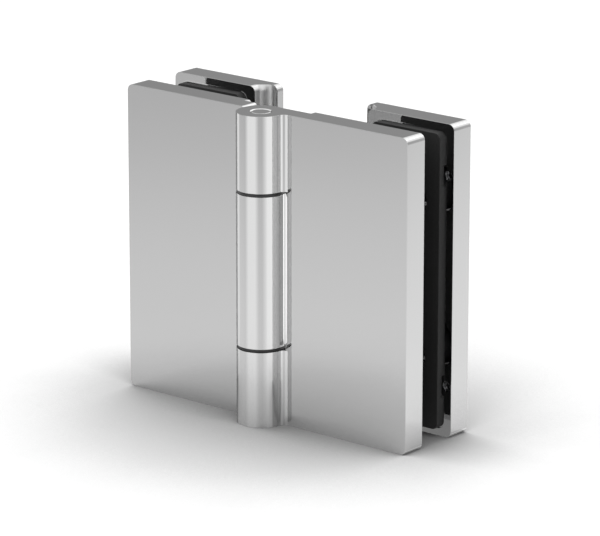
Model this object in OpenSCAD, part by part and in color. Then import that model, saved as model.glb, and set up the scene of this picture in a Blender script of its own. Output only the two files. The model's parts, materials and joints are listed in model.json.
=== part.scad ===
// Surface-barrel hinge for two panes of toughened glass.
// Two leaves turn about one vertical pin. Each is a front plate and a rear plate that clamp
// the glass between rubber pads. Units are millimetres. +X runs along the door leaf, +Y to
// the back and +Z up. The origin is on the pin's axis, at the underside of the plates.

/* [Plates] */
// Height of every plate
plate_h = 96; // [90:1:110]
// Distance from the pin's axis to the outer end of each leaf
leaf_w = 54.4; // [53.5:0.1:60]
// Thickness of the plates where they clamp
plate_t = 8; // [7.5:0.1:9]
// Thickness of the front plates beside the barrel
web_t = 6; // [5.5:0.1:6.5]
// Radius of the plates' outer corners
corner_r = 2; // [1:0.1:3]

/* [Barrel] */
// Diameter of the barrel
barrel_d = 15; // [14:0.1:15.2]
// Distance from the pin's axis back to the front faces
axis_setback = 1.25; // [1.1:0.05:1.5]
// Height of the joint below the middle knuckle, and depth of the one above it
joint_z = 24; // [22:0.5:28]
// Gap between two knuckles
knuckle_gap = 1; // [0.8:0.1:1.2]
// Concave radius between barrel and front face
root_r = 2; // [1.5:0.1:2.4]
// Diameter of the hinge pin
pin_d = 6; // [5:0.5:7]

/* [Glass clamp] */
// Thickness of the glass
glass_t = 8; // [6:1:10]
// How far a pad stands out of its plate
pad_stand = 2.9; // [2.5:0.1:3.2]
// Distance from the pin's axis to the clamp screws
clamp_x = 38.5; // [37:0.5:40]
// Height of the lower clamp screw, and depth of the upper one
clamp_z = 24; // [22:0.5:28]
// Outer diameter of the sleeves that line the holes in the glass
sleeve_d = 14; // [13:0.5:15]

/* [Fasteners] */
// Thread diameter of the clamp screws
clamp_screw_d = 6; // [5:0.5:6]
// Length of the clamp screws, head included
clamp_screw_len = 20; // [18:1:22]
// Thread diameter of the pad screws
pad_screw_d = 3; // [2.5:0.1:3]
// Thread diameter of the screws that lock the pin
lock_screw_d = 4; // [3:0.5:4]

/* [Hidden] */
$fn = 96;

chrome = "#C9CBCD";
steel = "#A9ABAE";
blackened = "#2A2A2B";
rubber = "#232323";
nylon = "#1B1B1C";
// Overshoot of a cut past the face that it opens, and sink of a piece into what it joins
cut = 0.01;
sink = 1;
// Clearances: a piece held in its hole, and a shaft that turns in one
snug = 0.02;
running = 0.05;

// Depths from front to back
face_y = axis_setback;
back_y = face_y + plate_t;
web_back_y = face_y + web_t;
mid_y = back_y + pad_stand + glass_t / 2;
rear_back_y = 2 * mid_y - face_y;

// Barrel and knuckles. root_x is where the concave root runs out on the front face.
barrel_r = barrel_d / 2;
pin_r = pin_d / 2;
low_top = joint_z - knuckle_gap / 2;
mid_bottom = joint_z + knuckle_gap / 2;
mid_top = plate_h - mid_bottom;
high_bottom = plate_h - low_top;
root_x = sqrt(pow(barrel_r + root_r, 2) - pow(root_r - face_y, 2));
pin_mouth = 0.35;
pin_end_gap = 0.1;
pin_chamfer = 0.25;

// Inner ends of the front plates: the fixed one is stepped and rounded, and the door's is
// cut out round the middle knuckle
fixed_web_x = barrel_r + 0.25;
fixed_web_r = 1;
fixed_thick_x = 11.5;
fixed_thick_r = 1.5;
door_thick_x = 13.2;
door_window_x = barrel_r + 1.5;
door_window_r = 2;

// Inner ends of the rear plates: a block, a thin lip behind it and a cove between them
block_x = 22.1;
lip_x = 17.5;
lip_t = 2.8;
cove_w = 4.1;
cove_r = 4.2;

// Pads and the pockets that they lie in
pocket_depth = 0.5;
pocket_x0 = 25.3;
pocket_x1 = 51.8;
pocket_z = 2.3;
pocket_r = 2.5;
pad_gap = 0.3;
pad_hole_r = sleeve_d / 2 + 1;
notch_h = 6.6;
notch_d = 1;
notch_t = 1.1;

// Clamp screws, their bosses and the sleeves round them
clamp_zs = [clamp_z, plate_h - clamp_z];
boss_r = 5;
boss_end_y = back_y + 8;
front_skin = 4;
thread_r = clamp_screw_d / 2;
head_r = clamp_screw_d;
head_sink = 0.55;
socket_w = 4;
socket_depth = 2.6;
tip_chamfer = 0.6;
sleeve_end_y = back_y + 10;

// Pad screws and the screws that lock the pin
pad_screw_x = 52.3;
pad_screw_zs = [plate_h / 2 - 32.25, plate_h / 2 + 32.25];
pad_screw_len = 3;
pad_screw_sink = 1.5;
pad_hole_depth = 4.8;
pad_socket_w = 1.5;
pad_socket_depth = 1.2;
lock_zs = [joint_z / 2, plate_h - joint_z / 2];
lock_sink = 0.6;
lock_socket_w = 2;
lock_socket_depth = 1.8;

// Bushes in the middle knuckle
bush_r = 4.5;
bush_len = 10;
flange_r = barrel_r - 0.2;
flange_t = knuckle_gap - 0.1;

// The door leaf's pieces are drawn, and the fixed leaf's are the same ones turned over
module fixed_side() {
    mirror([1, 0, 0]) children();
}

// Turns a piece that lies at the front plate over to the rear plate
module rear_side() {
    translate([0, 2 * mid_y, 0]) mirror([0, 1, 0]) children();
}

// Extrudes an outline drawn in X and Z from y0 back to y1
module slab(y0, y1) {
    translate([0, y1, 0]) rotate([90, 0, 0]) linear_extrude(y1 - y0) children();
}

module rounded(x0, x1, z0, z1, r) {
    translate([x0 + r, z0]) square([x1 - x0 - 2 * r, z1 - z0]);
    translate([x0, z0 + r]) square([x1 - x0, z1 - z0 - 2 * r]);
    for (x = [x0 + r, x1 - r], z = [z0 + r, z1 - r])
        translate([x, z]) circle(r);
}

// A plate from x0 to the leaf's outer end, with corners of radius r at x0
module plate(x0, r, y0, y1) {
    slab(y0, y1) {
        rounded(x0, leaf_w - corner_r, 0, plate_h, r);
        rounded(x0 + r, leaf_w, 0, plate_h, corner_r);
    }
}

// A rod, hole or cone along Y
module along_y(x, z, y0, y1, r0, r1) {
    translate([x, y0, z]) rotate([-90, 0, 0]) cylinder(h = y1 - y0, r1 = r0, r2 = r1);
}

// A hexagonal socket along Y, width measured across its flats
module socket(x, z, y0, y1, width) {
    translate([x, y0, z]) rotate([-90, 0, 0])
        cylinder(h = y1 - y0, r = width / sqrt(3), $fn = 6);
}

// A knuckle of the barrel, with the concave root that runs out on the front face
module knuckle(z0, z1) {
    translate([0, 0, z0]) linear_extrude(z1 - z0) {
        circle(barrel_r);
        difference() {
            translate([barrel_r / 2, face_y - root_r])
                square([root_x - barrel_r / 2, root_r + sink]);
            translate([root_x, face_y - root_r]) circle(root_r);
        }
    }
}

module pad_pocket() {
    slab(back_y - pocket_depth, back_y + cut)
        rounded(pocket_x0, pocket_x1, pocket_z, plate_h - pocket_z, pocket_r);
}

module pad_screw_holes() {
    for (z = pad_screw_zs)
        along_y(pad_screw_x, z, back_y - pad_hole_depth, back_y + cut,
                pad_screw_d / 2, pad_screw_d / 2);
}

// Gives a front plate its pocket, its tapped bosses and its holes for the pad screws
module clamping() {
    difference() {
        union() {
            difference() {
                children();
                pad_pocket();
            }
            for (z = clamp_zs)
                along_y(clamp_x, z, back_y - pocket_depth - sink, boss_end_y, boss_r, boss_r);
        }
        for (z = clamp_zs)
            along_y(clamp_x, z, face_y + front_skin, boss_end_y + cut,
                    thread_r + running, thread_r + running);
        pad_screw_holes();
    }
}

module bush_seats() {
    translate([0, 0, mid_bottom - cut]) cylinder(h = bush_len + cut, r = bush_r);
    translate([0, 0, mid_top - bush_len]) cylinder(h = bush_len + cut, r = bush_r);
    translate([0, 0, mid_bottom]) cylinder(h = mid_top - mid_bottom, r = pin_r + 0.25);
}

module fixed_front_plate() {
    color(chrome) fixed_side() difference() {
        clamping() {
            plate(fixed_thick_x, fixed_thick_r, face_y, back_y);
            plate(fixed_web_x, fixed_web_r, face_y, web_back_y);
            translate([0, face_y, mid_bottom])
                cube([fixed_thick_x, web_t, mid_top - mid_bottom]);
            knuckle(mid_bottom, mid_top);
        }
        bush_seats();
    }
}

module pin_bore() {
    r = pin_r + cut;
    translate([0, 0, -sink]) cylinder(h = plate_h + 2 * sink, r = r);
    translate([0, 0, -cut]) cylinder(h = pin_mouth, r1 = r + pin_mouth, r2 = r);
    translate([0, 0, plate_h - pin_mouth + cut]) cylinder(h = pin_mouth, r1 = r, r2 = r + pin_mouth);
}

module door_front_plate() {
    color(chrome) difference() {
        clamping() {
            plate(door_thick_x + sink, corner_r, face_y, back_y);
            translate([door_thick_x, face_y, 0]) cube([2 * corner_r, plate_t, plate_h]);
            translate([0, face_y, 0]) cube([door_thick_x + sink, web_t, plate_h]);
            knuckle(0, low_top);
            knuckle(high_bottom, plate_h);
        }
        slab(face_y - sink, web_back_y + sink)
            rounded(-barrel_r, door_window_x, low_top, high_bottom, door_window_r);
        pin_bore();
        for (z = lock_zs)
            along_y(0, z, 0, barrel_r + sink, lock_screw_d / 2, lock_screw_d / 2);
    }
}

// What the cove leaves at a distance u out from the block's end, drawn from depth y
module cove_profile(u) {
    difference() {
        translate([u - sink, 0]) square([cove_w + sink, cove_w + sink]);
        translate([u + cove_w, 0]) circle(cove_r);
    }
}

// Fills the angle between block and lip. It follows the block's round corners at both ends.
module cove() {
    cove_y = rear_back_y - lip_t - cove_w;
    intersection() {
        plate(lip_x, corner_r, cove_y, rear_back_y - sink);
        union() {
            translate([block_x, cove_y, corner_r]) linear_extrude(plate_h - 2 * corner_r)
                mirror([1, 0]) cove_profile(0);
            for (z = [corner_r, plate_h - corner_r])
                translate([block_x + corner_r, cove_y, z]) rotate([-90, 0, 0])
                    rotate_extrude() cove_profile(corner_r);
        }
    }
}

module rear_plate() {
    front_y = rear_back_y - plate_t;
    mouth_r = head_r + head_sink + snug;
    difference() {
        union() {
            plate(block_x, corner_r, front_y, rear_back_y);
            plate(lip_x, corner_r, rear_back_y - lip_t, rear_back_y);
            cove();
        }
        rear_side() {
            pad_pocket();
            pad_screw_holes();
        }
        for (z = clamp_zs) {
            along_y(clamp_x, z, front_y - sink, rear_back_y, thread_r + 0.3, thread_r + 0.3);
            along_y(clamp_x, z, rear_back_y - mouth_r + sink, rear_back_y, sink, mouth_r);
        }
    }
}

module door_rear_plate() {
    color(chrome) rear_plate();
}

module fixed_rear_plate() {
    color(chrome) fixed_side() rear_plate();
}

// Notch in a pad's edge beside a pad screw
module pad_notch(z) {
    edge_x = pocket_x1 - pad_gap;
    half_h = notch_h / 2 - notch_d;
    slab(back_y - pocket_depth - sink, back_y + notch_t) {
        translate([edge_x - notch_d, z - half_h]) square([2 * notch_d, 2 * half_h]);
        for (end = [-half_h, half_h])
            translate([edge_x, z + end]) circle(notch_d);
    }
}

module pad() {
    y0 = back_y - pocket_depth;
    y1 = back_y + pad_stand;
    color(rubber) difference() {
        slab(y0, y1)
            rounded(pocket_x0 + pad_gap, pocket_x1 - pad_gap, pocket_z + pad_gap,
                    plate_h - pocket_z - pad_gap, pocket_r - pad_gap);
        for (z = clamp_zs)
            along_y(clamp_x, z, y0 - cut, y1 + cut, pad_hole_r, pad_hole_r);
        for (z = pad_screw_zs)
            pad_notch(z);
    }
}

module door_front_pad() {
    pad();
}

module door_rear_pad() {
    rear_side() pad();
}

module fixed_front_pad() {
    fixed_side() pad();
}

module fixed_rear_pad() {
    fixed_side() rear_side() pad();
}

// Countersunk screws driven in from the back
module clamp_screws() {
    top_y = rear_back_y - head_sink;
    tip_y = top_y - clamp_screw_len;
    neck_y = top_y - (head_r - thread_r);
    color(steel) for (z = clamp_zs) difference() {
        union() {
            along_y(clamp_x, z, tip_y, tip_y + tip_chamfer, thread_r - tip_chamfer, thread_r);
            along_y(clamp_x, z, tip_y + tip_chamfer, neck_y, thread_r, thread_r);
            along_y(clamp_x, z, neck_y, top_y, thread_r, head_r);
        }
        socket(clamp_x, z, top_y - socket_depth, top_y + cut, socket_w);
    }
}

module door_clamp_screws() {
    clamp_screws();
}

module fixed_clamp_screws() {
    fixed_side() clamp_screws();
}

// Tubes over the bosses, which keep the glass off the metal
module glass_sleeves() {
    y0 = back_y - pocket_depth;
    color(nylon) for (z = clamp_zs) difference() {
        along_y(clamp_x, z, y0, sleeve_end_y, sleeve_d / 2, sleeve_d / 2);
        along_y(clamp_x, z, y0 - cut, sleeve_end_y + cut, boss_r + running, boss_r + running);
    }
}

module door_glass_sleeves() {
    glass_sleeves();
}

module fixed_glass_sleeves() {
    fixed_side() glass_sleeves();
}

// Set screws sunk in the plate's inner face beside the pad
module pad_screws() {
    r = pad_screw_d / 2 - snug;
    outer_y = back_y - pad_screw_sink;
    color(blackened) for (z = pad_screw_zs) difference() {
        along_y(pad_screw_x, z, outer_y - pad_screw_len, outer_y, r, r);
        socket(pad_screw_x, z, outer_y - pad_socket_depth, outer_y + cut, pad_socket_w);
    }
}

module door_front_pad_screws() {
    pad_screws();
}

module door_rear_pad_screws() {
    rear_side() pad_screws();
}

module fixed_front_pad_screws() {
    fixed_side() pad_screws();
}

module fixed_rear_pad_screws() {
    fixed_side() rear_side() pad_screws();
}

// A flanged bush, flange down, that reaches up from z 0
module bush() {
    color(nylon) difference() {
        union() {
            translate([0, 0, -flange_t]) cylinder(h = flange_t, r = flange_r);
            translate([0, 0, -flange_t / 2])
                cylinder(h = flange_t / 2 + bush_len - 0.2, r = bush_r - cut);
        }
        translate([0, 0, -sink]) cylinder(h = bush_len + 2 * sink, r = pin_r + running);
    }
}

module lower_bush() {
    translate([0, 0, mid_bottom]) bush();
}

module upper_bush() {
    translate([0, 0, mid_top]) mirror([0, 0, 1]) bush();
}

module hinge_pin() {
    tip_r = pin_r - pin_chamfer;
    top_z = plate_h - pin_end_gap;
    color(chrome) {
        translate([0, 0, pin_end_gap]) cylinder(h = pin_chamfer, r1 = tip_r, r2 = pin_r);
        translate([0, 0, pin_end_gap + pin_chamfer])
            cylinder(h = top_z - pin_end_gap - 2 * pin_chamfer, r = pin_r);
        translate([0, 0, top_z - pin_chamfer]) cylinder(h = pin_chamfer, r1 = pin_r, r2 = tip_r);
    }
}

// Set screws behind the outer knuckles that hold the pin
module pin_lock_screws() {
    r = lock_screw_d / 2 - snug;
    outer_y = barrel_r - lock_sink;
    color(steel) for (z = lock_zs) difference() {
        along_y(0, z, pin_r + snug, outer_y, r, r);
        socket(0, z, outer_y - lock_socket_depth, outer_y + cut, lock_socket_w);
    }
}

fixed_front_plate();
fixed_rear_plate();
fixed_front_pad();
fixed_rear_pad();
fixed_clamp_screws();
fixed_glass_sleeves();
fixed_front_pad_screws();
fixed_rear_pad_screws();
lower_bush();
upper_bush();
door_front_plate();
door_rear_plate();
door_front_pad();
door_rear_pad();
door_clamp_screws();
door_glass_sleeves();
door_front_pad_screws();
door_rear_pad_screws();
hinge_pin();
pin_lock_screws();
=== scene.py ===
import json
from math import pi, radians

import bmesh
import bpy
from mathutils import Matrix, Vector


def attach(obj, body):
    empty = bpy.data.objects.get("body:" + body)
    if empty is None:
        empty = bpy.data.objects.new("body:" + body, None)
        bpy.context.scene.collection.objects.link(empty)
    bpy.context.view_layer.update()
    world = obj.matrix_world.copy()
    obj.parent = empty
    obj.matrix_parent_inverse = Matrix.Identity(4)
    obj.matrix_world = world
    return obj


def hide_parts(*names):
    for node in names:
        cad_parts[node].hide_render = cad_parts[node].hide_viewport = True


MM = 0.001
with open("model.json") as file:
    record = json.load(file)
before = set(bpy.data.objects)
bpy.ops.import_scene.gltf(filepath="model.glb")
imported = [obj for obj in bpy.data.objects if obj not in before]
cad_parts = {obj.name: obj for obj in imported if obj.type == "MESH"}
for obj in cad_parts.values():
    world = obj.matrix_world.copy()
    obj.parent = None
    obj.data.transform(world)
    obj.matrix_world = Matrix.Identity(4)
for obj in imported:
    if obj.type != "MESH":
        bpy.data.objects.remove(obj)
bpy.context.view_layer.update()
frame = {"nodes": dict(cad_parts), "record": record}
scene = bpy.context.scene
scene.view_settings.view_transform = "Standard"


# ---------------------------------------------------------------- camera, floor and light

# The hinge stands at three-quarter view, seen a little from above with a long lens
TARGET = Vector((6.57, 10.2, 46.84)) * MM
VIEW_AZIMUTH = radians(39.942)
VIEW_ELEVATION = radians(15.745)
VIEW_ROLL = radians(0.048)
VIEW_DISTANCE = 1200 * MM
LENS = 240.28
SENSOR_WIDTH = 36
# The nearest and farthest things that the camera sees, in metres
NEAREST, FARTHEST = 0.01, 20


def make_camera():
    data = bpy.data.cameras.new("camera")
    data.lens = LENS
    data.sensor_width = SENSOR_WIDTH
    data.clip_start = NEAREST
    data.clip_end = FARTHEST
    camera = bpy.data.objects.new("camera", data)
    scene.collection.objects.link(camera)
    turn = Matrix.Rotation(VIEW_AZIMUTH, 4, "Z") @ Matrix.Rotation(pi / 2 - VIEW_ELEVATION, 4, "X")
    turn = turn @ Matrix.Rotation(VIEW_ROLL, 4, "Z")
    back = turn.to_3x3() @ Vector((0, 0, 1))
    camera.matrix_world = Matrix.Translation(TARGET + back * VIEW_DISTANCE) @ turn
    scene.camera = camera


def srgb(code):
    """A hex colour such as "C7C7C7" as linear red, green, blue and alpha."""
    parts = [int(code[i:i + 2], 16) / 255 for i in (0, 2, 4)]
    return [p / 12.92 if p <= 0.04045 else ((p + 0.055) / 1.055) ** 2.4 for p in parts] + [1]


def add(tree, kind, inputs=None, stops=None, **settings):
    """Adds a node. inputs maps its inputs, by name or number, to a node, whose first output is
    used, to an output socket or to a value. stops are a ramp's (position, grey) pairs."""
    made = tree.nodes.new(kind)
    for name, value in settings.items():
        setattr(made, name, value)
    for key, value in (inputs or {}).items():
        if isinstance(value, bpy.types.Node):
            value = value.outputs[0]
        if isinstance(value, bpy.types.NodeSocket):
            tree.links.new(value, made.inputs[key])
        else:
            made.inputs[key].default_value = value
    if stops:
        elements = made.color_ramp.elements
        while len(elements) < len(stops):
            elements.new(0.5)
        for element, (place, grey) in zip(elements, stops):
            element.position = place
            element.color = (grey, grey, grey, 1)
    return made


# A ramp's greys stop at 1, so the levels below are divided by this in their ramps
RAMP_TOP = 2
# The studio round the hinge. Bearings are in degrees round from the camera's side, positive to
# its right. SHADE says how bright the grey room is at a bearing, and CARDS how far a white card
# covers it there, with a brighter card above 1.
SHADE = [(-180, 1.0), (-165, 0.9), (-152, 0.5), (-143, 1.0), (-112, 1.08), (-78, 1.0), (0, 0.94),
         (56, 0.82), (76, 0.80), (84, 0.60), (93, 0.64), (98, 1.22), (135, 1.14), (180, 1.0)]
CARDS = [(-180, 0), (-146, 0), (-140, 1), (-122, 1), (-114, 0), (-78, 0), (-60, 1), (-28, 1),
         (-10, 0), (5, 0), (28, 1.08), (52.6, 1.12), (53.6, 0), (100, 0), (122, 1.7), (133, 1.7),
         (135, 0), (145, 0), (147, 1.7), (151, 1.7), (165, 0), (180, 0)]
CARD_LEVEL = 1.3
# How bright the grey room is by height, from the sine of the elevation, up to ROOM_SPAN each way
ROOM_SPAN = 0.5
ROOM = [(-0.5, 1.2), (-0.31, 1.08), (-0.279, 0.95), (-0.267, 0.9), (-0.255, 0.83), (-0.243, 0.735),
        (-0.231, 0.66), (-0.15, 0.5), (0.0, 0.46), (0.30, 0.48), (0.42, 1.3), (0.5, 1.4)]
# Painted shadow: how bright the floor's colour is painted by how much open sky it sees, darker in the
# hinge's soft shadow, on top of the real shade that the sky's light gives there
SHADOW = [(0.4, 0.3), (0.5, 0.4), (0.62, 0.57), (0.72, 0.68), (0.8, 0.75), (0.86, 0.94), (0.91, 1)]
# The floor and the matt pieces are lit by an even sky, and the eye sees a white room
SKY_LEVEL = 1.25
WHITE_ROOM = 1.1
# The floor's radius, how far round a point its painted shadow looks for open sky, how white it is, and
# how much of the studio polished metal sees through it
FLOOR_RADIUS = 1600 * MM
SHADOW_REACH = 250 * MM
SHADOW_SAMPLES = 16
FLOOR_WHITE = 0.9
FLOOR_CLEAR = 0.85


def make_world():
    """A white room for the eye, and a studio of grey walls and white cards for polished metal."""
    world = bpy.data.worlds.new("studio")
    scene.world = world
    world.use_nodes = True
    tree = world.node_tree
    tree.nodes.clear()
    direction = add(tree, "ShaderNodeTexCoord").outputs["Generated"]
    xyz = add(tree, "ShaderNodeSeparateXYZ", {0: direction}).outputs
    bearing = add(tree, "ShaderNodeMath", {0: xyz["Y"], 1: xyz["X"]}, operation="ARCTAN2")
    bearing = add(tree, "ShaderNodeMath", {0: bearing, 1: VIEW_AZIMUTH - pi / 2}, operation="SUBTRACT")
    bearing = add(tree, "ShaderNodeMath", {0: bearing, 1: pi, 2: -pi}, operation="WRAP")
    turn = add(tree, "ShaderNodeMapRange", {"Value": bearing, "From Min": -pi, "From Max": pi})
    height = add(tree, "ShaderNodeMapRange", {"Value": xyz["Z"], "From Min": -ROOM_SPAN,
                                               "From Max": ROOM_SPAN})
    shade = add(tree, "ShaderNodeValToRGB", {0: turn},
                [(b / 360 + 0.5, level / RAMP_TOP) for b, level in SHADE])
    cards = add(tree, "ShaderNodeValToRGB", {0: turn},
                [(b / 360 + 0.5, level / RAMP_TOP) for b, level in CARDS])
    room = add(tree, "ShaderNodeValToRGB", {0: height},
               [(z / (2 * ROOM_SPAN) + 0.5, level / RAMP_TOP) for z, level in ROOM])
    walls = add(tree, "ShaderNodeMath", {0: room, 1: shade}, operation="MULTIPLY")
    walls = add(tree, "ShaderNodeMath", {0: walls, 1: RAMP_TOP ** 2}, operation="MULTIPLY")
    cards = add(tree, "ShaderNodeMath", {0: cards, 1: RAMP_TOP}, operation="MULTIPLY")
    cover = add(tree, "ShaderNodeMath", {0: cards, 1: 1}, operation="MINIMUM")
    card = add(tree, "ShaderNodeMath", {0: cards, 1: 1}, operation="MAXIMUM")
    card = add(tree, "ShaderNodeMath", {0: card, 1: CARD_LEVEL}, operation="MULTIPLY")
    studio = add(tree, "ShaderNodeMix", {"Factor": cover, "A": walls, "B": card}, data_type="FLOAT")
    rays = add(tree, "ShaderNodeLightPath").outputs
    level = add(tree, "ShaderNodeMix", {"Factor": rays["Is Glossy Ray"], "A": SKY_LEVEL, "B": studio},
                data_type="FLOAT")
    level = add(tree, "ShaderNodeMix", {"Factor": rays["Is Camera Ray"], "A": level, "B": WHITE_ROOM},
                data_type="FLOAT")
    shader = add(tree, "ShaderNodeBackground", {"Color": (1, 1, 1, 1), "Strength": level})
    add(tree, "ShaderNodeOutputWorld", {"Surface": shader})


def make_floor():
    """A white floor lit by the sky, with a shadow painted into its colour close to the hinge, darker
    where a point sees less open sky. Polished metal sees the studio through it, darkened by the same
    painted shadow."""
    bm = bmesh.new()
    bmesh.ops.create_circle(bm, cap_ends=True, segments=96, radius=FLOOR_RADIUS)
    mesh = bpy.data.meshes.new("floor")
    bm.to_mesh(mesh)
    bm.free()
    floor = bpy.data.objects.new("floor", mesh)
    scene.collection.objects.link(floor)
    material = bpy.data.materials.new("white_studio_floor")
    material.use_nodes = True
    tree = material.node_tree
    tree.nodes.clear()
    sky = add(tree, "ShaderNodeAmbientOcclusion", {"Distance": SHADOW_REACH}, samples=SHADOW_SAMPLES)
    shadow = add(tree, "ShaderNodeValToRGB", {0: sky.outputs["AO"]}, SHADOW)
    # Painted shadow: the floor's colour is darkened where it sees little open sky
    white = add(tree, "ShaderNodeMath", {0: shadow, 1: FLOOR_WHITE}, operation="MULTIPLY")
    matt = add(tree, "ShaderNodeBsdfDiffuse", {"Color": white})
    # Painted shadow on reflections: what metal sees through the floor is darkened by the same ramp
    clear = add(tree, "ShaderNodeBsdfTransparent", {"Color": shadow})
    rays = add(tree, "ShaderNodeLightPath").outputs
    share = add(tree, "ShaderNodeMath", {0: rays["Is Glossy Ray"], 1: FLOOR_CLEAR}, operation="MULTIPLY")
    mix = add(tree, "ShaderNodeMixShader", {0: share, 1: matt, 2: clear})
    add(tree, "ShaderNodeOutputMaterial", {"Surface": mix})
    mesh.materials.append(material)


# ---------------------------------------------------------------- materials

def start_material(name, colour, metallic, specular):
    material = bpy.data.materials.new(name)
    material.use_nodes = True
    tree = material.node_tree
    tree.nodes.clear()
    shader = add(tree, "ShaderNodeBsdfPrincipled", {"Base Color": srgb(colour), "Metallic": metallic,
                                                    "Specular IOR Level": specular})
    add(tree, "ShaderNodeOutputMaterial", {"Surface": shader})
    place = add(tree, "ShaderNodeTexCoord").outputs["Object"]
    return material, tree, shader, place


# The span of values that nearly all of a noise pattern falls in
NOISE_LOW, NOISE_HIGH = 0.3, 0.7


def uneven_gloss(tree, shader, place, size_mm, detail, smoothest, roughest):
    """Lets the roughness drift between two values in patches of size_mm, and gives the pattern."""
    patches = add(tree, "ShaderNodeTexNoise", {"Vector": place, "Scale": 1 / (size_mm * MM),
                                               "Detail": detail})
    rough = add(tree, "ShaderNodeMapRange", {"Value": patches, "From Min": NOISE_LOW,
                                             "From Max": NOISE_HIGH, "To Min": smoothest,
                                             "To Max": roughest})
    tree.links.new(rough.outputs[0], shader.inputs["Roughness"])
    return patches


def raised_grain(tree, shader, grain, height_mm):
    """Raises the surface by height_mm where the grain pattern is light."""
    relief = add(tree, "ShaderNodeBump", {"Height": grain, "Distance": height_mm * MM, "Strength": 1})
    tree.links.new(relief.outputs[0], shader.inputs["Normal"])


# Holds back the extra shine of plated metal at a glancing angle
EDGE_TINT = (0.74, 0.74, 0.74, 1)


def polished_chrome():
    """Bright chrome plate on polished brass: a near-perfect mirror with a faint buffing haze, no
    brighter at a glancing angle."""
    material, tree, shader, place = start_material("polished_chrome_plate", "C7C7C7", 1.0, 0.5)
    shader.inputs["Specular Tint"].default_value = EDGE_TINT
    uneven_gloss(tree, shader, place, size_mm=9, detail=3, smoothest=0.01, roughest=0.035)
    return material


def milled_chrome():
    """Chrome plate over the fine marks of a milling cutter: it still shines, but mirrors nothing
    sharply."""
    material, tree, shader, place = start_material("milled_chrome_plate", "C7C7C7", 1.0, 0.5)
    uneven_gloss(tree, shader, place, size_mm=0.4, detail=2, smoothest=0.34, roughest=0.42)
    return material


def moulded_rubber():
    """Moulded EPDM rubber: deep matt black with the fine grain of a spark-eroded mould."""
    material, tree, shader, place = start_material("moulded_epdm_rubber", "222222", 0.0, 0.4)
    grain = uneven_gloss(tree, shader, place, size_mm=0.35, detail=2, smoothest=0.52, roughest=0.7)
    raised_grain(tree, shader, grain, height_mm=0.02)
    return material


def moulded_nylon():
    """Injection-moulded black nylon: smooth and faintly waxy, with a soft wide highlight."""
    material, tree, shader, place = start_material("moulded_black_nylon", "141415", 0.0, 0.5)
    grain = uneven_gloss(tree, shader, place, size_mm=0.6, detail=2, smoothest=0.32, roughest=0.46)
    raised_grain(tree, shader, grain, height_mm=0.01)
    return material


def turned_steel():
    """Turned stainless steel: bright satin metal, broken up by fine tool marks."""
    material, tree, shader, place = start_material("turned_stainless_steel", "C4C3C1", 1.0, 0.5)
    uneven_gloss(tree, shader, place, size_mm=0.5, detail=2, smoothest=0.16, roughest=0.3)
    return material


def blackened_steel():
    """Alloy steel with an oiled black oxide finish: dark metal that glints softly on its rims."""
    material, tree, shader, place = start_material("oiled_black_oxide_steel", "6A6A6C", 1.0, 0.5)
    uneven_gloss(tree, shader, place, size_mm=0.8, detail=2, smoothest=0.2, roughest=0.32)
    return material


CHROME = polished_chrome()
MILLED = milled_chrome()
RUBBER = moulded_rubber()
NYLON = moulded_nylon()
STEEL = turned_steel()
BLACK_STEEL = blackened_steel()


# ---------------------------------------------------------------- pieces

# Corners closer than WELD are one, faces within FLAT are one, edges past SHARP are broken with
# EDGE_STEPS small faces, and edges past SMOOTH are shaded as creases
WELD = 0.001 * MM
FLAT = radians(0.05)
SHARP = radians(28)
EDGE_STEPS = 2
SMOOTH = radians(30)
# The cove of a rear plate: how far out and how far back its surface lies
COVE_X = (17 * MM, 23 * MM)
COVE_Y = (22 * MM, 28.4 * MM)
# A face whose normal has this much of Y in it is flat, and isn't part of the cove
FACING_Y = 0.999


def in_cove(place):
    return COVE_X[0] < abs(place.x) < COVE_X[1] and COVE_Y[0] < place.y < COVE_Y[1]


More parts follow.
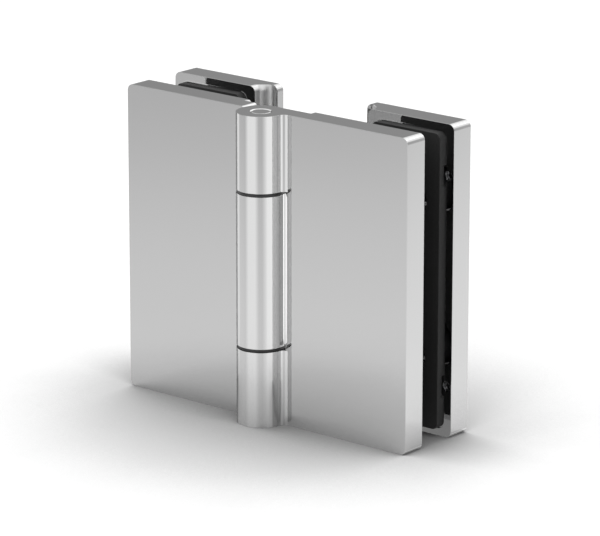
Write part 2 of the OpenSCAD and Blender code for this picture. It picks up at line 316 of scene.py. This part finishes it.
def finished(node, name, edge_mm, material, cove=None):
    """The finished form of a CAD node: its triangles merged to whole faces, its outer edges
    broken by edge_mm, as polishing or moulding leaves them. cove is the finish of a cove."""
    bm = bmesh.new()
    bm.from_mesh(frame["nodes"][node].data)
    bmesh.ops.remove_doubles(bm, verts=bm.verts, dist=WELD)
    bmesh.ops.dissolve_limit(bm, angle_limit=FLAT, verts=bm.verts, edges=bm.edges)
    bm.normal_update()
    sharp = [edge for edge in bm.edges if edge.is_convex and edge.calc_face_angle(0) > SHARP]
    if cove:
        sharp = [edge for edge in sharp if not any(in_cove(vert.co) for vert in edge.verts)]
    bmesh.ops.bevel(bm, geom=sharp, offset=edge_mm * MM, offset_type="OFFSET", segments=EDGE_STEPS,
                    affect="EDGES", profile=0.5, material=-1, clamp_overlap=False)
    for face in bm.faces:
        face.smooth = True
        if cove and in_cove(face.calc_center_median()) and abs(face.normal.y) < FACING_Y:
            face.material_index = 1
    mesh = bpy.data.meshes.new(name)
    bm.to_mesh(mesh)
    bm.free()
    mesh.materials.append(material)
    if cove:
        mesh.materials.append(cove)
    mesh.set_sharp_from_angle(angle=SMOOTH)
    piece = bpy.data.objects.new(name, mesh)
    scene.collection.objects.link(piece)
    weighted = piece.modifiers.new("flat_faces", "WEIGHTED_NORMAL")
    weighted.keep_sharp = True
    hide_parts(node)
    body = next(b for b, nodes in frame["record"]["behaviour"]["bodies"].items() if node in nodes)
    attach(piece, body)
    return piece


make_camera()
make_world()
make_floor()

# The number in each call is how far the piece's edges are broken, in millimetres
for side in ("fixed", "door"):
    finished(side + "_front_plate", side + "_front_leaf", 0.1, CHROME)
    finished(side + "_rear_plate", side + "_rear_clamp", 0.1, CHROME, cove=MILLED)
    for end in ("front", "rear"):
        pad = finished(f"{side}_{end}_pad", f"{side}_{end}_gasket", 0.25, RUBBER)
        # The plates' margins mirror the dark gap and not the rear pads, which keeps them black
        pad.visible_glossy = end == "front"
        finished(f"{side}_{end}_pad_screws", f"{side}_{end}_set_screws", 0.2, BLACK_STEEL)
    finished(side + "_clamp_screws", side + "_countersunk_screws", 0.12, STEEL)
    finished(side + "_glass_sleeves", side + "_sleeves", 0.15, NYLON)
finished("hinge_pin", "pin", 0.08, CHROME)
finished("pin_lock_screws", "lock_screws", 0.08, STEEL)
for place in ("lower", "upper"):
    finished(place + "_bush", place + "_flanged_bush", 0.1, NYLON)
